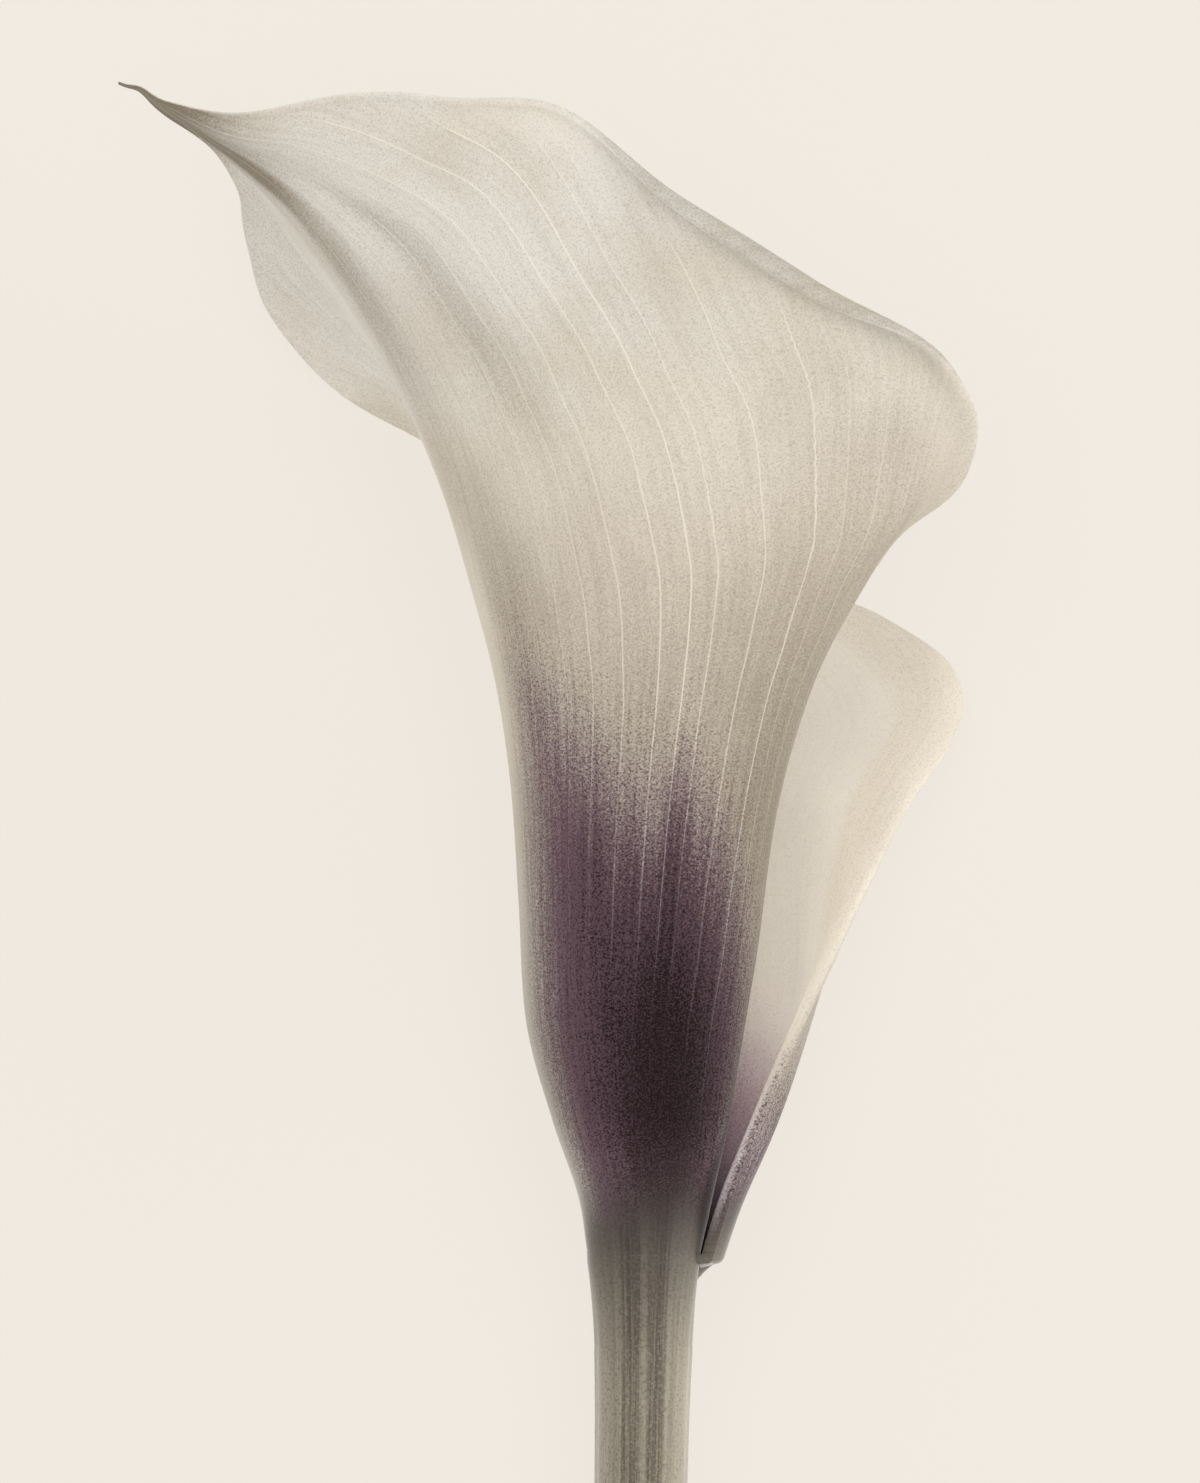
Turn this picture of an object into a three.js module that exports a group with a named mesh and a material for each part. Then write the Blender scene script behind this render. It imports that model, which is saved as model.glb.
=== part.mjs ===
// A cut calla lily lying on its side: one flared spathe rolled round a spadix, on a long smooth stem.
// Millimetres, +Z up, +Y from the cut end of the stem to the tip of the spathe.
// The flower is drawn with x = 0, y = 0 at the foot of the spathe and z = 0 on the surface that it lies on,
// and is then moved so that the origin is the middle of the bottom of its box.
import * as THREE from 'three';

// Driving dimensions
const STEM_LENGTH = 170;
const STEM_END_RADIUS = 4.65;
const STEM_TOP_RADIUS = 5.75;
const STEM_FLARE_LENGTH = 8;
const STEM_RIB_DEPTH = 0.12;
const STEM_RIBS = 12;
const CORE_RADIUS = 3.9;
const CORE_TIP_RADIUS = 3.1;
const CORE_TOP = 6;
const GAP = 0.3;
const SPATHE_FOOT_THICKNESS = 1.3;
const SPATHE_RIM_THICKNESS = 0.7;
const MIDRIB_THICKNESS = 0.35;
const MIDRIB_WIDTH = 0.12;
const SPADIX_LENGTH = 48;
const SPADIX_RADIUS = 3.3;
const SPADIX_TIP_RADIUS = 2.3;
const SPADIX_ROUND_FROM = 0.93;
const SPADIX_END_RADIUS = 0.6;
const FLORET_HEIGHT = 0.35;
const FLORET_ROWS = 26;
const FLORETS_ROUND = 11;

// The rows stop just short of the point where the margins would meet, so the tip keeps its thickness
const TIP_END = 0.975;

// Mesh density
const SPATHE_ROWS = 54;
const HALF_COLUMNS = 18;
const COLUMN_CROWDING = 1.15;
const LIP_COLUMNS = 4;
const STEM_SIDES = 48;
const STEM_STEPS = 20;
const STEM_STEP_CROWDING = 1.7;
const SPADIX_SIDES = 44;
const SPADIX_STEPS = 52;

// The spathe is one leaf rolled into a funnel. Seventeen stations run from its foot to its tip, and each
// gives where the leaf's near margin, midrib and far margin lie, so a row of the leaf crosses all three.
const NEAR_MARGIN = [
  [4.7, 0.8, 22.0], [6.3, 6.8, 22.4], [8.2, 15.0, 23.4], [10.4, 30.0, 24.8], [12.4, 46.0, 27.2],
  [16.6, 59.0, 31.4], [23.6, 70.8, 39.4], [29.7, 79.1, 48.0], [27.3, 88.4, 56.4], [15.8, 96.2, 60.6],
  [3.6, 103.8, 61.5], [-8.2, 113.0, 58.2], [-19.5, 114.2, 52.8], [-30.5, 114.6, 46.6], [-40.0, 113.7, 40.4],
  [-46.6, 115.4, 36.0], [-52.3, 118.1, 34.0],
];
const MIDRIB = [
  [-4.6, 1.0, 24.0], [-5.6, 6.8, 24.2], [-8.3, 14.5, 24.8], [-10.9, 24.0, 25.5], [-11.7, 36.0, 26.2],
  [-12.6, 47.5, 26.9], [-14.3, 58.0, 27.6], [-17.0, 68.0, 28.3], [-19.9, 77.5, 29.0], [-23.2, 85.5, 29.6],
  [-26.9, 92.8, 30.2], [-30.8, 99.3, 30.8], [-35.2, 105.2, 31.4], [-39.6, 109.4, 31.9], [-43.4, 112.4, 32.3],
  [-47.2, 115.2, 32.7], [-52.3, 117.9, 33.3],
];
const FAR_MARGIN = [
  [7.0, 0.4, 26.4], [9.0, 6.8, 28.2], [12.7, 15.5, 26.2], [18.6, 30.2, 21.4], [23.8, 45.2, 16.2],
  [29.4, 56.0, 9.8], [23.4, 63.6, 5.4], [8.0, 69.0, 3.6], [-8.2, 75.4, 3.0], [-19.4, 82.4, 2.6],
  [-29.6, 88.8, 3.8], [-35.8, 96.0, 10.2], [-38.2, 102.6, 17.8], [-39.4, 107.4, 23.4], [-42.1, 111.5, 27.8],
  [-47.2, 114.8, 30.9], [-52.2, 117.6, 32.6],
];
// The way that a row sets out from the midrib and the way that it runs off each margin, at nine stations,
// as multiples of the straight distance between the two
const NEAR_START = [
  [0, 0, 2.75], [0, 0, 2.25], [0, 0, 2.0], [0.15, 0, 1.8], [0.34, 0.06, 1.4], [0.5, 0.15, 1.35],
  [0.55, 0.2, 1.1], [0.5, 0.3, 0.95], [0.4, 0.3, 0.9],
];
const NEAR_END = [
  [-1.2, 0, -2.4], [-0.55, 0, -2.07], [-0.7, 0.2, -1.9], [0.1, 0.45, -1.1], [0.85, 0.4, -0.15],
  [0.5, 0.75, 0.3], [0.3, 0.9, 0.5], [0.3, 0.8, 0.6], [0.4, 0.5, 0.7],
];
const FAR_START = [
  [0, 0, -2.7], [0, 0, -2.3], [0, 0, -1.45], [0, 0, -1.8], [0, -0.06, -1.7], [0, -0.2, -1.5],
  [0, -0.25, -1.3], [0, -0.3, -1.2], [0, -0.3, -1],
];
const FAR_END = [
  [-1.2, 0, 2.0], [-1.05, 0, 2.1], [0.75, 0.1, 0.6], [0.55, 0.55, -0.35], [-0.05, 0.3, -0.9],
  [-0.6, -0.5, -0.7], [-0.75, -0.4, -0.6], [-0.5, -0.4, -0.8], [-0.2, -0.4, -0.9],
];
// The lip that rolls outward along each margin: its length and the angle that it turns through
const NEAR_LIP = [0.6, 0.8, 1.0, 1.2, 1.5, 1.8, 2.6, 3.4, 3.6, 4.6, 3.8, 2.0, 1.6, 1.3, 0.9, 0.3, 0.1];
const NEAR_CURL = [5, 10, 15, 20, 28, 38, 55, 65, 85, 160, 145, 60, 45, 40, 30, 10, 5];
const FAR_LIP = [0.6, 0.8, 1.4, 2.2, 3.0, 3.4, 2.6, 1.8, 1.6, 1.6, 1.8, 1.8, 1.4, 1.0, 0.7, 0.4, 0.1];
const FAR_CURL = [5, 10, 20, 50, 65, 70, 60, 50, 45, 45, 45, 45, 35, 30, 20, 10, 5];
// The midrib is a fold of this roundness, and a soft groove runs beside it on the near half
const FOLD_ROUND = 0.07;
const GROOVE_DEPTH = 1.1;
const GROOVE_PLACE = 0.33;
const GROOVE_WIDTH = 0.09;
const GROOVE_FROM = 0.4;
const GROOVE_TO = 0.9;

// The stem's middle line, rising from the cut end to the foot of the spathe and on into it
const STEM_LINE = [
  [0.8, -STEM_LENGTH, STEM_END_RADIUS], [0.3, -130, 10.6], [-0.1, -85, 16.6], [-0.1, -40, 21.4], [0.5, 0, 24.3],
];
const SPADIX_LINE = [
  [0.6, CORE_TOP + GAP, 24.7], [0.7, 20, 25.4], [0.2, 36, 26.4], [-0.6, CORE_TOP + GAP + SPADIX_LENGTH, 27.6],
];

// Step for a direction along a line or a margin, and the least length and turn of a lip
const DIRECTION_STEP = 1e-3;
const LEAST_LIP = 0.05;
const LEAST_CURL = 1;

const radians = THREE.MathUtils.degToRad;
const clamp = THREE.MathUtils.clamp;

// Catmull-Rom through equally spaced numbers, with t from 0 to 1
function spline(values, t) {
  const last = values.length - 1;
  const place = clamp(t, 0, 1) * last;
  const i = Math.min(Math.floor(place), last - 1);
  const f = place - i;
  const b = values[i];
  const c = values[i + 1];
  const a = i > 0 ? values[i - 1] : 2 * b - c;
  const d = i + 2 <= last ? values[i + 2] : 2 * c - b;
  return 0.5 * (2 * b + (c - a) * f + (2 * a - 5 * b + 4 * c - d) * f * f + (3 * b - a - 3 * c + d) * f ** 3);
}

// The same spline through points
function splinePoint(points, t) {
  return new THREE.Vector3(...[0, 1, 2].map((axis) => spline(points.map((p) => p[axis]), t)));
}

// Unit direction of a line of points at t
function splineDirection(points, t) {
  const before = splinePoint(points, Math.max(t - DIRECTION_STEP, 0));
  const after = splinePoint(points, Math.min(t + DIRECTION_STEP, 1));
  return after.sub(before).normalize();
}

// Closed surface between rings of points, with a fan at each end
function closedTube(rings, startPoint, endPoint) {
  const sides = rings[0].length;
  const points = [startPoint, ...rings.flat(), endPoint];
  const last = points.length - 1;
  const faces = [];
  for (let k = 0; k < sides; k += 1) {
    const next = (k + 1) % sides;
    faces.push(0, 1 + k, 1 + next);
    for (let r = 0; r < rings.length - 1; r += 1) {
      const low = 1 + r * sides;
      const high = low + sides;
      faces.push(low + k, high + next, low + next, low + k, high + k, high + next);
    }
    const top = last - sides;
    faces.push(top + next, top + k, last);
  }
  return solid(points, faces);
}

// Geometry from points and the triangles between them
function solid(points, faces) {
  const geometry = new THREE.BufferGeometry();
  const coordinates = points.flatMap((p) => [p.x, p.y, p.z]);
  geometry.setAttribute('position', new THREE.Float32BufferAttribute(coordinates, 3));
  geometry.setIndex(faces);
  geometry.computeVertexNormals();
  return geometry;
}

// Where one half of a row lies, seen from the midrib. It is the cubic that sets out along start, runs off
// along end and crosses to the margin as reach goes from 0 to 1.
function halfRow(across, start, end, reach) {
  const width = across.length();
  const square = reach * reach;
  const cube = square * reach;
  return across
    .clone()
    .multiplyScalar(3 * square - 2 * cube)
    .addScaledVector(start, width * (cube - 2 * square + reach))
    .addScaledVector(end, width * (cube - square));
}

// Smooth stand-in for the positive part of a number, which rounds the fold at the midrib
function positivePart(value) {
  return (value + Math.hypot(value, FOLD_ROUND)) / 2;
}

// A point of the leaf between its lips: side runs from -1 at the near margin through 0 at the midrib to 1
function leafPoint(side, v) {
  const midrib = splinePoint(MIDRIB, v);
  const nearAcross = splinePoint(NEAR_MARGIN, v).sub(midrib);
  const farAcross = splinePoint(FAR_MARGIN, v).sub(midrib);
  const point = midrib
    .add(halfRow(nearAcross, splinePoint(NEAR_START, v), splinePoint(NEAR_END, v), positivePart(-side)))
    .add(halfRow(farAcross, splinePoint(FAR_START, v), splinePoint(FAR_END, v), positivePart(side)));
  point.z -= grooveDepth(side, v);
  return point;
}

// The groove follows the midrib up from the mouth of the funnel and dies out before the tip
function grooveDepth(side, v) {
  const away = (-side - GROOVE_PLACE) / GROOVE_WIDTH;
  const along = clamp((v - GROOVE_FROM) / (GROOVE_TO - GROOVE_FROM), 0, 1);
  return GROOVE_DEPTH * Math.sin(Math.PI * along) ** 2 * Math.exp(-away * away);
}

// A point of the rolled lip: from the margin the leaf goes on square to it, as an arc that turns outward
function lipPoint(sign, v, along) {
  const edge = leafPoint(sign, v);
  const below = leafPoint(sign, Math.max(v - DIRECTION_STEP, 0));
  const above = leafPoint(sign, Math.min(v + DIRECTION_STEP, 1));
  const rim = above.sub(below).normalize();
  const outward = edge.clone().sub(leafPoint(sign * (1 - DIRECTION_STEP), v));
  outward.addScaledVector(rim, -outward.dot(rim)).normalize();
  const back = new THREE.Vector3().crossVectors(outward, rim).multiplyScalar(-sign);
  const length = Math.max(spline(sign < 0 ? NEAR_LIP : FAR_LIP, v), LEAST_LIP);
  const curl = radians(Math.max(spline(sign < 0 ? NEAR_CURL : FAR_CURL, v), LEAST_CURL));
  const radius = length / curl;
  const turned = curl * along;
  return edge
    .addScaledVector(outward, radius * Math.sin(turned))
    .addScaledVector(back, radius * (1 - Math.cos(turned)));
}

// The columns of the leaf from the edge of the near lip to the edge of the far lip, as [side, along the lip]
function leafColumns() {
  const columns = [];
  for (let k = -HALF_COLUMNS - LIP_COLUMNS; k <= HALF_COLUMNS + LIP_COLUMNS; k += 1) {
    const reach = Math.min(Math.abs(k) / HALF_COLUMNS, 1) ** COLUMN_CROWDING;
    columns.push([Math.sign(k) * reach, Math.max(Math.abs(k) - HALF_COLUMNS, 0) / LIP_COLUMNS]);
  }
  return columns;
}

// Thickness of the leaf, fleshy at the foot and along the midrib and thin towards its rim
function leafThickness(side, v) {
  const flesh = (1 - v) * Math.sqrt(1 - v);
  const rib = MIDRIB_THICKNESS * Math.exp(-((side / MIDRIB_WIDTH) ** 2)) * (1 - v);
  return SPATHE_RIM_THICKNESS + (SPATHE_FOOT_THICKNESS - SPATHE_RIM_THICKNESS) * flesh + rib;
}

// Both faces of the leaf lie half its thickness from the middle surface and are split into like triangles
function spatheGeometry() {
  const columns = leafColumns();
  const heights = Array.from({ length: SPATHE_ROWS + 1 }, (_, row) => (row / SPATHE_ROWS) * TIP_END);
  const middle = heights.map((v) =>
    columns.map(([side, along]) => (along > 0 ? lipPoint(side, v, along) : leafPoint(side, v))),
  );
  const inner = [];
  const outer = [];
  heights.forEach((v, row) => {
    columns.forEach(([side], column) => {
      const offset = gridNormal(middle, row, column).multiplyScalar(leafThickness(side, v) / 2);
      inner.push(middle[row][column].clone().sub(offset));
      outer.push(middle[row][column].clone().add(offset));
    });
  });
  return shell(outer, inner, heights.length, columns.length);
}

// Unit normal of a grid of points, towards the outer face of the leaf
function gridNormal(grid, row, column) {
  const before = grid[row][Math.max(column - 1, 0)];
  const after = grid[row][Math.min(column + 1, grid[row].length - 1)];
  const below = grid[Math.max(row - 1, 0)][column];
  const above = grid[Math.min(row + 1, grid.length - 1)][column];
  const across = after.clone().sub(before);
  const up = above.clone().sub(below);
  return up.cross(across).normalize();
}

// Closed shell of two matching grids, joined along their four edges
function shell(outer, inner, rows, columns) {
  const faces = [];
  const count = rows * columns;
  const quad = (a, b, c, d) => faces.push(a, b, c, a, c, d);
  for (let row = 0; row < rows - 1; row += 1) {
    for (let column = 0; column < columns - 1; column += 1) {
      const a = row * columns + column;
      const b = a + columns;
      quad(a, b, b + 1, a + 1);
      quad(count + a, count + a + 1, count + b + 1, count + b);
    }
  }
  for (let column = 0; column < columns - 1; column += 1) {
    const top = (rows - 1) * columns + column;
    quad(column, column + 1, count + column + 1, count + column);
    quad(top + 1, top, count + top, count + top + 1);
  }
  for (let row = 0; row < rows - 1; row += 1) {
    const left = row * columns;
    const right = left + columns - 1;
    quad(left + columns, left, count + left, count + left + columns);
    quad(right, right + columns, count + right + columns, count + right);
  }
  return solid([...outer, ...inner], faces);
}

// A ring of points square to a line, with the radius given as a function of the angle
function ringAcross(centre, direction, sides, radiusAt) {
  const sideways = new THREE.Vector3(1, 0, 0).addScaledVector(direction, -direction.x).normalize();
  const upward = new THREE.Vector3().crossVectors(sideways, direction).normalize();
  const ring = [];
  for (let k = 0; k < sides; k += 1) {
    const angle = (2 * Math.PI * k) / sides;
    const radius = radiusAt(angle);
    ring.push(
      centre
        .clone()
        .addScaledVector(sideways, radius * Math.cos(angle))
        .addScaledVector(upward, radius * Math.sin(angle)),
    );
  }
  return ring;
}

// The stem widens to its top, where it steps in to the core that carries the spadix inside the spathe
function stemGeometry() {
  const rings = [];
  for (let step = 0; step <= STEM_STEPS; step += 1) {
    const t = 1 - (1 - step / STEM_STEPS) ** STEM_STEP_CROWDING;
    const flare = Math.exp(((t - 1) * STEM_LENGTH) / STEM_FLARE_LENGTH);
    const radius = STEM_END_RADIUS + (STEM_TOP_RADIUS - STEM_END_RADIUS) * flare;
    const ribs = (angle) => radius - STEM_RIB_DEPTH * (0.5 - 0.5 * Math.cos(STEM_RIBS * angle));
    rings.push(ringAcross(splinePoint(STEM_LINE, t), splineDirection(STEM_LINE, t), STEM_SIDES, ribs));
  }
  const top = splinePoint(STEM_LINE, 1);
  const direction = splineDirection(STEM_LINE, 1);
  rings.push(ringAcross(top, direction, STEM_SIDES, () => CORE_RADIUS));
  const coreTop = top.clone().addScaledVector(direction, CORE_TOP);
  rings.push(ringAcross(coreTop, direction, STEM_SIDES, () => CORE_TIP_RADIUS));
  return closedTube(rings, splinePoint(STEM_LINE, 0), coreTop);
}

// Florets packed in a spiral: each is a low dome, and every second row is turned by half a floret
function floretHeight(angle, t) {
  const row = t * FLORET_ROWS;
  const twist = (angle / (2 * Math.PI)) * FLORETS_ROUND;
  const first = Math.cos(Math.PI * (twist + row / 2));
  const second = Math.cos(Math.PI * (twist - row / 2));
  return FLORET_HEIGHT * (first * second) ** 2;
}

// Radius of the spadix between its florets, tapering to a rounded end
function spadixRadius(t) {
  const taper = SPADIX_RADIUS + (SPADIX_TIP_RADIUS - SPADIX_RADIUS) * t;
  const end = clamp((t - SPADIX_ROUND_FROM) / (1 - SPADIX_ROUND_FROM), 0, 1);
  return Math.max(taper * Math.sqrt(1 - end * end), SPADIX_END_RADIUS);
}

// The florets stand out from the spadix all the way up, and its last ring closes flat and small
function spadixGeometry() {
  const rings = [];
  for (let step = 0; step <= SPADIX_STEPS; step += 1) {
    const t = step / SPADIX_STEPS;
    const centre = splinePoint(SPADIX_LINE, t);
    const florets = t < 1 ? 1 : 0;
    const radiusAt = (angle) => spadixRadius(t) + florets * floretHeight(angle, t);
    rings.push(ringAcross(centre, splineDirection(SPADIX_LINE, t), SPADIX_SIDES, radiusAt));
  }
  return closedTube(rings, splinePoint(SPADIX_LINE, 0), splinePoint(SPADIX_LINE, 1));
}

// One named piece with its own material
function piece(name, geometry, color, roughness) {
  const material = new THREE.MeshStandardMaterial({ color, roughness, metalness: 0 });
  const mesh = new THREE.Mesh(geometry, material);
  mesh.name = name;
  return mesh;
}

const flower = new THREE.Group();
flower.add(piece('spathe', spatheGeometry(), 0xe4dccd, 0.6));
flower.add(piece('spadix', spadixGeometry(), 0xe6c766, 0.75));
flower.add(piece('stem', stemGeometry(), 0x6f7a4e, 0.55));

// Move the flower so that the origin is the middle of the bottom of its box
const box = new THREE.Box3().setFromObject(flower);
const middle = box.getCenter(new THREE.Vector3());
flower.position.set(-middle.x, -middle.y, -box.min.z);

export default flower;
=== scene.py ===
"""A cut calla lily lying on a pale surface, seen from straight above.

Shapes are drawn in millimetres with x = 0, y = 0 at the foot of the spathe and z = 0 on the surface, and
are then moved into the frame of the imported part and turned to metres.
"""

import bpy
import numpy as np
from bpy.props import FloatProperty, FloatVectorProperty, PointerProperty
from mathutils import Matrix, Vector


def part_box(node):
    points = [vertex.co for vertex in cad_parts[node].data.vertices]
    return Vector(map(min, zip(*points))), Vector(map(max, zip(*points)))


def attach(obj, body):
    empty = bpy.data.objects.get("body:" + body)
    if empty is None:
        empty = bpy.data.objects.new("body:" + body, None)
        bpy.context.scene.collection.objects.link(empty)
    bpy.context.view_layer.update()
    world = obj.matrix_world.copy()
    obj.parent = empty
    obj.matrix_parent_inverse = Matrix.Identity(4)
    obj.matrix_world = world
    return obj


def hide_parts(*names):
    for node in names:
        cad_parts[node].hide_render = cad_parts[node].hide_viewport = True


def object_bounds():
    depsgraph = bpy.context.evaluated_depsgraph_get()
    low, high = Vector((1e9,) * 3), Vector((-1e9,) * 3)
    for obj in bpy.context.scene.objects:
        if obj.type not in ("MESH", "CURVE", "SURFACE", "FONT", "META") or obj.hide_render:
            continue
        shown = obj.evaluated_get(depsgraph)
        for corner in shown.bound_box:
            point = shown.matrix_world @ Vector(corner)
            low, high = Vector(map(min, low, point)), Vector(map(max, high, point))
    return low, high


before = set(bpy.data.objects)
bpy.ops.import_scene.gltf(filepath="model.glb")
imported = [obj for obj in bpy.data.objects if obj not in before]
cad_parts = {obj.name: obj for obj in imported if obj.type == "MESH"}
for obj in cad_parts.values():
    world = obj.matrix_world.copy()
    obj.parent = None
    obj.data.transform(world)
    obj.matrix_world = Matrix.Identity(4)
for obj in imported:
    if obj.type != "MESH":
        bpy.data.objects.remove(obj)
CAD_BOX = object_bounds()

bl_info = {
    "name": "Calla lily",
    "version": (1, 0, 0),
    "blender": (4, 5, 0),
    "location": "View3D > Sidebar > Calla",
    "description": "Builds the spathe, spadix and stem of a cut calla lily and the surface that it lies on",
    "category": "Add Mesh",
}

MILLIMETRE = 0.001

# The leaf that forms the spathe: where its near margin, midrib and far margin lie at seventeen stations from
# the foot to the tip
NEAR_MARGIN = [
    (4.7, 0.8, 22.0), (6.3, 6.8, 22.4), (8.2, 15.0, 23.4), (10.4, 30.0, 24.8), (12.4, 46.0, 27.2),
    (16.6, 59.0, 31.4), (23.6, 70.8, 39.4), (29.7, 79.1, 48.0), (27.3, 88.4, 56.4), (15.8, 96.2, 60.6),
    (3.6, 103.8, 61.5), (-8.2, 113.0, 58.2), (-19.5, 114.2, 52.8), (-30.5, 114.6, 46.6),
    (-40.0, 113.7, 40.4), (-46.6, 115.4, 36.0), (-52.3, 118.1, 34.0),
]
MIDRIB = [
    (-4.6, 1.0, 24.0), (-5.6, 6.8, 24.2), (-8.3, 14.5, 24.8), (-10.9, 24.0, 25.5), (-11.7, 36.0, 26.2),
    (-12.6, 47.5, 26.9), (-14.3, 58.0, 27.6), (-17.0, 68.0, 28.3), (-19.9, 77.5, 29.0), (-23.2, 85.5, 29.6),
    (-26.9, 92.8, 30.2), (-30.8, 99.3, 30.8), (-35.2, 105.2, 31.4), (-39.6, 109.4, 31.9),
    (-43.4, 112.4, 32.3), (-47.2, 115.2, 32.7), (-52.3, 117.9, 33.3),
]
FAR_MARGIN = [
    (7.0, 0.4, 26.4), (9.0, 6.8, 28.2), (12.7, 15.5, 26.2), (18.6, 30.2, 21.4), (23.8, 45.2, 16.2),
    (29.4, 56.0, 9.8), (23.4, 63.6, 5.4), (8.0, 69.0, 3.6), (-8.2, 75.4, 3.0), (-19.4, 82.4, 2.6),
    (-29.6, 88.8, 3.8), (-35.8, 96.0, 10.2), (-38.2, 102.6, 17.8), (-39.4, 107.4, 23.4),
    (-42.1, 111.5, 27.8), (-47.2, 114.8, 30.9), (-52.2, 117.6, 32.6),
]
# How a row of the leaf sets out from the midrib and runs off each margin, at nine stations
NEAR_START = [
    (0, 0, 2.75), (0, 0, 2.25), (0, 0, 2.0), (0.15, 0, 1.8), (0.34, 0.06, 1.4), (0.5, 0.15, 1.35),
    (0.55, 0.2, 1.1), (0.5, 0.3, 0.95), (0.4, 0.3, 0.9),
]
NEAR_END = [
    (-1.2, 0, -2.4), (-0.55, 0, -2.07), (-0.7, 0.2, -1.9), (0.1, 0.45, -1.1), (0.85, 0.4, -0.15),
    (0.5, 0.75, 0.3), (0.3, 0.9, 0.5), (0.3, 0.8, 0.6), (0.4, 0.5, 0.7),
]
FAR_START = [
    (0, 0, -2.7), (0, 0, -2.3), (0, 0, -1.45), (0, 0, -1.8), (0, -0.06, -1.7), (0, -0.2, -1.5),
    (0, -0.25, -1.3), (0, -0.3, -1.2), (0, -0.3, -1),
]
FAR_END = [
    (-1.2, 0, 2.0), (-1.05, 0, 2.1), (0.75, 0.1, 0.6), (0.55, 0.55, -0.35), (-0.05, 0.3, -0.9),
    (-0.6, -0.5, -0.7), (-0.75, -0.4, -0.6), (-0.5, -0.4, -0.8), (-0.2, -0.4, -0.9),
]
# Length of the lip that rolls outward along each margin, and the degrees that it turns through
NEAR_LIP = [0.6, 0.8, 1.0, 1.2, 1.5, 1.8, 2.6, 3.4, 3.6, 4.6, 3.8, 2.0, 1.6, 1.3, 0.9, 0.3, 0.1]
NEAR_CURL = [5, 10, 15, 20, 28, 38, 55, 65, 85, 160, 145, 60, 45, 40, 30, 10, 5]
FAR_LIP = [0.6, 0.8, 1.4, 2.2, 3.0, 3.4, 2.6, 1.8, 1.6, 1.6, 1.8, 1.8, 1.4, 1.0, 0.7, 0.4, 0.1]
FAR_CURL = [5, 10, 20, 50, 65, 70, 60, 50, 45, 45, 45, 45, 35, 30, 20, 10, 5]
LEAST_LIP = 0.05
LEAST_CURL = 1.0
FOLD_ROUND = 0.07
GROOVE_DEPTH = 1.1
GROOVE_PLACE = 0.33
GROOVE_WIDTH = 0.09
GROOVE_FROM = 0.4
GROOVE_TO = 0.9
TIP_END = 0.975
FOOT_THICKNESS = 1.3
RIM_THICKNESS = 0.7
THINNING_POWER = 1.5
MIDRIB_THICKNESS = 0.35
MIDRIB_WIDTH = 0.12
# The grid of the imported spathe, which is drawn once more to find where the frame puts the flower
CAD_ROWS = 54
CAD_HALF_COLUMNS = 18
CAD_LIP_COLUMNS = 4
COLUMN_CROWDING = 1.15

# The finer grid of the leaf, which runs on to a sharp tip and down over the stem as a thin sleeve
LEAF_ROWS = 200
LEAF_HALF_COLUMNS = 84
LEAF_LIP_COLUMNS = 10
LEAF_TIP_END = 0.997
TIP_THINNING_FROM = 0.86
TIP_THICKNESS = 0.2
TIP_PINCH_FROM = 0.93
TIP_PINCH = 0.75
TIP_FLICK = 0.5
TIP_FLICK_AT = 0.972
TIP_FLICK_WIDTH = 0.014
EDGE_ROUND = 0.22
EDGE_THINNING = 0.45
SLEEVE_ROWS = 16
SLEEVE_LENGTH = 10.0
EAR_SLEEVE_LENGTH = 1.2
# The sleeve shortens over this span of the far half up to where the ear begins, with a rounded corner there
EAR_FROM = 0.8
EAR_SPAN = 0.3
EAR_CORNER = 0.21
SLEEVE_SINK = 0.06
SLEEVE_THINNING = 0.6
# The stem's skin gives way under the sleeve, between these heights above the foot
SLEEVE_BED_DEPTH = 0.3
SLEEVE_BED = (-9.5, -6.0)

# Where the main veins leave the foot of the leaf, as shares of the way from the midrib to the margin, and how
# strongly each shows
VEIN_PLACES = [
    0.0, 0.07, 0.14, 0.2, 0.255, 0.31, 0.372, 0.44, 0.49,
    0.53, 0.605, 0.685, 0.73, 0.785, 0.85, 0.93, 1.1,
]
VEIN_STRENGTHS = [
    0.0, 0.1, 0.25, 0.3, 0.45, 0.55, 0.65, 0.75, 1.0,
    0.65, 0.65, 0.8, 0.4, 0.45, 0.35, 0.25, 0.15,
]
FAR_VEIN_SHARE = 0.4
WIDEST_VEIN_GAP = 12.0
NARROWEST_VEIN_GAP = 2.6
VEIN_FAN = 3.2
VEIN_FAN_FROM = 0.44
VEIN_FAN_ROUND = 0.04
VEIN_RELIEF = 0.1
VEIN_RELIEF_WIDTH = 0.9
# Two waves along the rim, each with its height and its length per radian, and how far in they reach
RIM_WAVE = (0.3, 3.1)
RIM_RIPPLE = (0.2, 1.7)
RIM_WAVE_REACH = 2.5
# How far a vein strays from its place, as a share of the gap to the next, and the strength of the faint lines
# between the veins
VEIN_WANDER = 0.3
FAINT_VEIN_SHARE = 0.07
# Living skin has a satin gloss under a fine bloom, and its relief is this deep in millimetres
SATIN_SKIN = {"Roughness": 0.5, "IOR": 1.4, "Specular IOR Level": 0.3, "Sheen Roughness": 0.3}
RELIEF_DEPTH = 0.1
# The fibres between the veins are laid out as if each half of the leaf were this wide at every height
FIBRE_SPREAD = 42.0
# Painted shade greys the outer face all over and shows less on the inner face, which is painted lighter as if
# lit
OUTER_PAINTED_SHADE = 0.26
INNER_PAINTED_SHADE_SHARE = 0.08

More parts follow.
